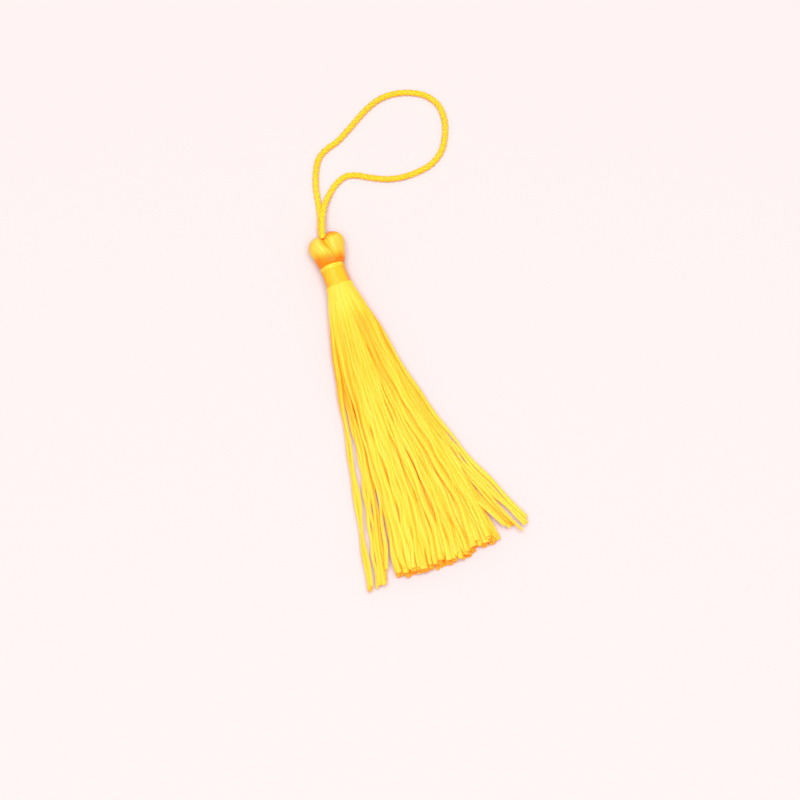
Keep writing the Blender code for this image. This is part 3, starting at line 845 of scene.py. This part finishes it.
SIDE_STARTS = (0.55, 1.00)  # from the middle to the edge
COVERED_TONES = (0.70, 0.10)  # painted shade: a strand covered by others is painted this much deeper, in the upper and in the lower part
TIP_TONES = (0.30, 2.20)  # painted shade: the end of a strand is painted deeper, by this much for a free one and for a covered one, as the lower strands' ends lie in shade
TIP_TONE_SPREAD = (0.6, 1.2)
TIP_SHADE_LENGTH = 0.0022
WOBBLES = (0.00004, 0.00015)  # a strand wavers to the sides by this much, at neck and tips
WOBBLE_STARTS = (0.004, 0.020)
WOBBLE_GROWS = (0.012, 0.045)
WOBBLE_LENGTHS = (0.007, 0.016)
FULLNESS_WAVE = 0.20  # a strand swells and thins along its length by this share
FULLNESS_WAVE_STARTS = (0.004, 0.016)
FULLNESS_WAVE_LENGTHS = (0.012, 0.026)
SKIRT_PIECES = ("skirt_left", "skirt_middle", "skirt_right")


def gather(share, count, strength, start):
    """The share drawn towards the middle of its tuft, and the tuft's number."""
    turns = count * share + start
    return share + strength * math.sin(FULL_TURN * turns) / (FULL_TURN * count), int(turns + 0.5)


def plan_strands(chooser):
    """Each strand's places at the fan's three stations, cut length and fullness, left to right."""
    plan = []
    tuft_trims = [chooser.random() * TUFT_TRIM for _ in range(TUFTS[-1][0] + 2)]
    for number in range(MAIN_STRANDS):
        share = (number + 0.5) / MAIN_STRANDS
        places = []
        for left, right, noise, tufts in zip(MAIN_LEFT, MAIN_RIGHT, FAN_NOISE, TUFTS):
            noisy = min(max(share + chooser.uniform(-noise, noise), FAN_MARGIN), 1.0 - FAN_MARGIN)
            gathered, tuft = gather(noisy, *tufts)
            places.append(mix(left, right, gathered))
        length = SKIRT_TIPS - tuft_trims[tuft] - chooser.random() * TRIM_SPREAD
        length += float(smooth_between(*zip(*CUT_ROWS), share))
        plan.append((*places, length, chooser.uniform(*MAIN_FULLNESS)))
    plan.extend(EDGE_STRANDS)
    plan.sort()
    return np.array(plan)


def packed_disc(count):
    """Places spread evenly over a round section of radius 1, the last of them on its rim.
    They are given from left to right."""
    number = np.arange(count) + 0.5
    radius = np.minimum(np.sqrt(number / count) / OUTER_RING, 1.0)
    angle = number * math.pi * (3.0 - math.sqrt(5.0))
    order = np.argsort(radius * np.cos(angle))
    return (radius * np.cos(angle))[order], (radius * np.sin(angle))[order]


def push_apart(across, height, reach):
    """Move strands that overlap away from each other; the arrays are (stations, strands)."""
    gap_x = across[:, :, None] - across[:, None, :]
    gap_z = height[:, :, None] - height[:, None, :]
    distance = np.sqrt(gap_x ** 2 + gap_z ** 2) + NO_DISTANCE
    push = np.maximum(2.0 * reach[:, None, None] - distance, 0.0) / distance
    push[:, np.arange(across.shape[1]), np.arange(across.shape[1])] = 0.0
    across += PUSH * (gap_x * push).sum(2)
    height += PUSH * (gap_z * push).sum(2)


def stiffen(values, amount):
    """Straighten the strands a little: each station moves towards the line of its neighbours."""
    padded = np.concatenate([2 * values[:1] - values[1:2], values, 2 * values[-1:] - values[-2:-1]])
    return mix(values, 0.5 * (padded[:-2] + padded[2:]), amount)


def root_places(count, first_shares, chooser):
    """Each strand's place in the round neck, roughly in the order in which they lie in the fan."""
    disc_x, disc_z = packed_disc(count)
    keys = first_shares + [chooser.uniform(-ROOT_ORDER_NOISE, ROOT_ORDER_NOISE) for _ in range(count)]
    order = np.argsort(np.argsort(keys))
    return disc_x[order], disc_z[order]


def strand_targets(downs, shares, root_x, chooser):
    """Where each strand is drawn to, across the fan: its place and a long wave round it."""
    count = len(shares)
    left, right, _, width = read_table(SKIRT_ROWS, downs)
    fanned = ramp(downs, 0.0, FAN_STATIONS[0])[:, None]
    fan_share = smooth_between(FAN_STATIONS, shares.T, downs)
    share = mix((root_x + 1.0) / 2.0, fan_share, fanned)
    phase = np.array([chooser.uniform(0.0, FULL_TURN) for _ in range(count)])
    period = np.array([chooser.uniform(*WAVE_LENGTHS) for _ in range(count)])
    wave = WAVE_HEIGHT * ramp(downs, *WAVE_GROWS)[:, None] * np.sin(
        phase + FULL_TURN * downs[:, None] / period)
    calm_edges = np.clip(EDGE_CALM * fan_share * (1.0 - fan_share), 0.0, 1.0)
    free_width = (right - left - width)[:, None]
    return (left + width / 2.0)[:, None] + free_width * share + wave * calm_edges


def cover_of(across, height, width):
    """How far each strand is covered by others, from 0 to 1, at every station."""
    gap_x = np.abs(across[:, :, None] - across[:, None, :])
    above = height[:, None, :] - height[:, :, None]
    widths = width[:, None, None]
    covering = (gap_x < COVER_WITHIN * widths) & (above > COVER_ABOVE * widths)
    return np.clip(covering.sum(2) / FULL_COVER, 0.0, 1.0)


def settle_strands(plan, chooser):
    """Bring the strands to rest: each is drawn to its place, sinks, and keeps off its neighbours."""
    downs = np.arange(0.0, SKIRT_TIPS + SETTLE_STEP, SETTLE_STEP)
    left, right, lift, width = read_table(SKIRT_ROWS, downs)
    edge_left, edge_right, _, edge_width = read_table(SKIRT_ROWS, np.array(FAN_STATIONS))
    shares = (plan[:, :3] - edge_left - edge_width / 2.0) / (edge_right - edge_left - edge_width)
    root_x, root_z = root_places(len(plan), shares[:, 0], chooser)
    target = strand_targets(downs, shares, root_x, chooser)

    reach = width / 2.0 * REACH_SHARE
    middle = ((left + right) / 2.0)[:, None]
    half_x = ((right - left - width) / 2.0)[:, None]
    half_z = (BODY_AXIS_HEIGHT - lift - width / 2.0)[:, None]
    held = (1.0 - ramp(downs, 0.0, HELD_UNTIL))[:, None]
    free = ramp(downs, 0.0, FREE_FROM)[:, None]
    flattened = mix(1.0, HEAP_FLATNESS, ramp(downs, 0.0, HEAP_FLAT_AT))[:, None]
    across = target.copy()
    height = BODY_AXIS_HEIGHT + half_z * root_z * flattened
    floor = (lift + reach)[:, None]
    for turn in range(SETTLE_ROUNDS + LAST_ROUNDS):
        if turn < SETTLE_ROUNDS:
            across += (target - across) * SIDE_PULL
            height -= SINK_PER_ROUND * free
        push_apart(across, height, reach)
        out = np.sqrt(((across - middle) / half_x) ** 2 + ((height - BODY_AXIS_HEIGHT) / half_z) ** 2)
        back = mix(1.0, 1.0 / np.maximum(out, 1.0), held)
        across = middle + (across - middle) * back
        height = BODY_AXIS_HEIGHT + (height - BODY_AXIS_HEIGHT) * back
        across = stiffen(across, STIFFNESS)
        height = np.maximum(stiffen(height, STIFFNESS), floor)
    for _ in range(SMOOTH_ROUNDS):
        across = stiffen(across, SMOOTHING)
        height = np.maximum(stiffen(height, SMOOTHING), floor)
    return downs, np.stack([across, height, cover_of(across, height, width)], -1)


def strand_stations(length):
    """Distances below the root, close together where the strand leaves the neck."""
    neck = np.arange(NECK_DOWN, 0.0, NECK_STEP)
    count = round(length / STRAND_STEP)
    even = np.linspace(0.0, length - END_ROUNDING, count + 1)
    return np.concatenate([neck, even, length - END_ROUNDING * np.array(END_STEPS)])


def strand_half_width(down, width, length, fullness, pinch, chooser):
    """Half the strand's width along it: squeezed at the neck, swelling, rounded off at its end."""
    spread = ramp(down, 0.0, SPREAD_BY)
    half_width = width / 2.0 * mix(1.0, fullness, spread)
    half_width = half_width * mix(NECK_OVERLAP, TIP_OVERLAP, spread) * pinch
    rounded = np.clip((down - length + END_ROUNDING) / END_ROUNDING, 0.0, 1.0)
    half_width = half_width * np.sqrt(1.0 - END_LOSS * rounded ** 2)
    phase = chooser.uniform(0.0, FULL_TURN)
    swelling = np.sin(phase + down * FULL_TURN / chooser.uniform(*FULLNESS_WAVE_LENGTHS))
    return half_width * (1.0 + FULLNESS_WAVE * swelling * ramp(down, *FULLNESS_WAVE_STARTS))


def strand_line(downs, places, length, fullness, chooser):
    """One soft strand from under the binding to its cut end: its middle line, its half sizes, how
    far it is covered, and how near it is to the skirt's side."""
    down = strand_stations(length)
    settled = smooth_between(downs, places, down)
    left, right, _, width = read_table(SKIRT_ROWS, down)
    pinch = mix(1.0, PINCH, ramp(down, PINCH_STARTS, PINCH_ENDS))
    middle = (left + right) / 2.0
    across = middle + (settled[:, 0] - middle) * pinch
    height = BODY_AXIS_HEIGHT + (settled[:, 1] - BODY_AXIS_HEIGHT) * pinch
    half_width = strand_half_width(down, width, length, fullness, pinch, chooser)
    phase = chooser.uniform(0.0, FULL_TURN)
    wobble = mix(*WOBBLES, ramp(down, *WOBBLE_GROWS)) * np.sin(
        phase + down * FULL_TURN / chooser.uniform(*WOBBLE_LENGTHS))
    across = across + wobble * ramp(down, *WOBBLE_STARTS)
    half_height = half_width * mix(*STRAND_FLATNESS, ramp(down, 0.0, SPREAD_BY))
    height = np.maximum(height, half_height * (PLY_SHARE + PLY_OFFSET[1]))
    path = np.stack([across, STRAND_ROOT_ALONG - down, height], -1)
    side = np.abs(settled[:, 0] - middle) / (right - middle)
    return down, path, half_width, half_height, settled[:, 2], side


def ply_rings(path, half_width, half_height, offset, turned):
    """One ply of a strand: an oval tube that winds slowly round the strand's middle line."""
    turns = section_angles(PLY_SIDES)
    sideways = (offset * np.cos(turned))[:, None] + PLY_SHARE * np.cos(turns)[None, :]
    sideways = half_width[:, None] * sideways
    upward = (offset * np.sin(turned))[:, None] + PLY_SHARE * np.sin(turns)[None, :]
    upward = half_height[:, None] * upward
    side, up = level_frames(path)
    return rings_round(path, side, sideways, up, upward)


def add_strand(draft, downs, places, length, fullness, chooser):
    """Both plies of one strand, each with its own shade and cut end."""
    down, path, half_width, half_height, cover, side = strand_line(
        downs, places, length, fullness, chooser)
    lengthwise = lengths_along(path)
    twist = FULL_TURN * (lengthwise / chooser.uniform(*STRAND_LAY) + chooser.random())
    shade = chooser.random()
    lower = ramp(down, *LOWER_STARTS)
    # Random tone per strand, reaching deeper in the upper part as painted shade for the lines between
    # strands.
    strand_tone = mix(mix(*UPPER_TONES, shade), mix(*LOWER_TONES, shade), lower)
    # Painted shade: deeper towards the skirt's sides in its upper part.
    strand_tone = strand_tone - SIDE_TONE * ramp(side, *SIDE_STARTS) * (1.0 - lower)
    # Painted shade: a strand covered by others is painted deeper.
    strand_tone = strand_tone - mix(*COVERED_TONES, lower) * cover
    loose = ramp(down, *NECK_SHADE_ENDS)
    # Painted shade at the strand's end, deepest for covered strands.
    tip_tone = mix(*TIP_TONES, cover[-1]) * chooser.uniform(*TIP_TONE_SPREAD)
    tip_shade = tip_tone * ramp(down, length - TIP_SHADE_LENGTH, length)
    for ply in range(PLIES):
        end = len(down) - chooser.choice(PLY_SHORTER_BY)
        turned = twist + FULL_TURN * ply / PLIES
        rings = ply_rings(path, half_width, half_height, mix(*PLY_OFFSET, loose), turned)[:end]
        rings[-1, :, 1] += PLY_TRIM * chooser.random()
        own = strand_tone + chooser.uniform(-PLY_TONE_SPREAD, PLY_TONE_SPREAD) - tip_shade
        # Painted highlight: near the binding the strands are painted light and even.
        tone = mix(NECK_SHADE, own, loose)[:end]
        draft.add_tube(rings, lengthwise[:end] + FIBRE_START * chooser.random(),
                       np.repeat(tone, PLY_SIDES), cap_slot=1)


def make_skirt(materials, chooser):
    plan = plan_strands(chooser)
    downs, places = settle_strands(plan, chooser)
    drafts = [Draft() for _ in SKIRT_PIECES]
    for number, row in enumerate(plan):
        height = np.interp(row[3], downs, places[:, number, 1])
        length = row[3] - TRIM_OVER_PILE * height
        draft = drafts[number * len(drafts) // len(plan)]
        add_strand(draft, downs, places[:, number], length, row[4], chooser)
    for draft, name in zip(drafts, SKIRT_PIECES):
        skirt = draft.make(name, materials)
        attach(skirt, BODY)


# ---- Neck binding ----

BINDING_BOTTOM = -0.00913
BINDING_TOP = -0.00419
BINDING_BOTTOM_RADIUS = 0.00285
BINDING_TOP_RADIUS = 0.00272
BINDING_TURNS = 27
BINDING_THREAD_RADIUS = 0.000115
BINDING_STEPS_PER_TURN = 60
BINDING_THREAD_SIDES = 10
RIM_TURNS = 4.5  # turns wound a second time over the top, which make a raised rim
RIM_RISE = 0.00016
RIM_FULLNESS = 0.6  # the lower, the fuller the rim's section
RIM_FADE = 1.0  # its painted highlight fades over this many turns to each side
BUNDLES = 7  # bunches of yarn that show softly through the binding
BUNDLE_RISE = 0.000070
BUNDLE_WANDER = 1.3
BINDING_UNEVENNESS = 0.000010  # in the thread's distance from the neck's middle
BINDING_THREAD_FLATNESS = 0.9
BINDING_TONES = (0.38, 1.1)  # of the band and of its rim; the rim is painted lighter, a painted highlight on the raised turns
BINDING_SIDE_TONE = 0.70  # painted shade: the binding's sides, turned away from the overhead light, are painted this much deeper in tone
BINDING_SIDE_STARTS = (0.60, 0.97)
NECK_CENTRES = (-0.00032, -0.00037)


def make_binding(material, chooser):
    steps = BINDING_TURNS * BINDING_STEPS_PER_TURN
    share = np.arange(steps + 1) / steps
    angle = FULL_TURN * share * BINDING_TURNS
    along = mix(BINDING_TOP - BINDING_THREAD_RADIUS, BINDING_BOTTOM + BINDING_THREAD_RADIUS, share)
    rim_share = np.clip(share * BINDING_TURNS / RIM_TURNS, 0.0, 1.0)
    rim = RIM_RISE * np.sin(math.pi * rim_share) ** RIM_FULLNESS
    radius = mix(BINDING_TOP_RADIUS, BINDING_BOTTOM_RADIUS, share) - BINDING_THREAD_RADIUS + rim
    radius = radius + BUNDLE_RISE * np.cos(BUNDLES * angle + BUNDLE_WANDER * np.sin(2.0 * angle))
    uneven = [chooser.uniform(-1.0, 1.0) for _ in range(BINDING_TURNS + 1)]
    radius = radius + BINDING_UNEVENNESS * np.interp(
        share * BINDING_TURNS, np.arange(BINDING_TURNS + 1), uneven)
    neck_share = (along - BINDING_BOTTOM) / (BINDING_TOP - BINDING_BOTTOM)
    centre = np.stack([mix(*NECK_CENTRES, neck_share), along, np.full_like(along, BODY_AXIS_HEIGHT)], -1)
    path = centre + np.stack([radius * np.cos(angle), np.zeros_like(angle), radius * np.sin(angle)], -1)
    ahead = unit(np.gradient(path, axis=0))
    outward = path - centre
    outward = unit(outward - ahead * (outward * ahead).sum(-1, keepdims=True))
    side = np.cross(outward, ahead)
    turns = section_angles(BINDING_THREAD_SIDES)
    sideways = BINDING_THREAD_RADIUS * np.cos(turns)[None, :]
    upward = BINDING_THREAD_RADIUS * BINDING_THREAD_FLATNESS * np.sin(turns)[None, :]
    rings = rings_round(path, side, sideways, outward, upward)
    below_rim = ramp(share * BINDING_TURNS, RIM_TURNS - RIM_FADE, RIM_TURNS + RIM_FADE)
    # Painted highlight: the rim's turns are painted lighter.
    tone = mix(*BINDING_TONES, 1.0 - below_rim)
    # Painted shade: the binding's sides are painted deeper.
    tone = tone - BINDING_SIDE_TONE * ramp(np.abs(np.cos(angle)), *BINDING_SIDE_STARTS)
    draft = Draft()
    draft.add_tube(rings, lengths_along(path), np.repeat(tone, BINDING_THREAD_SIDES))
    binding = draft.make("binding_thread_turns", [material])
    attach(binding, BODY)
    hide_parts("neck_binding")


# ---- The scene ----

def main():
    make_camera()
    chooser = random.Random(CHOOSER_SEED)
    cord = yarn_material("twisted_cord", CORD_LOOK)
    skirt = yarn_material("skirt_yarn", SKIRT_LOOK)
    head = yarn_material("head_yarn", HEAD_LOOK)
    binding = yarn_material("satin_thread", BINDING_LOOK)
    make_hanging_cord(cord)
    make_core(head)
    make_head_threads(head, chooser)
    make_skirt([skirt, cut_material()], chooser)
    make_binding(binding, chooser)
    make_table()
    make_light()
    set_colours()


main()
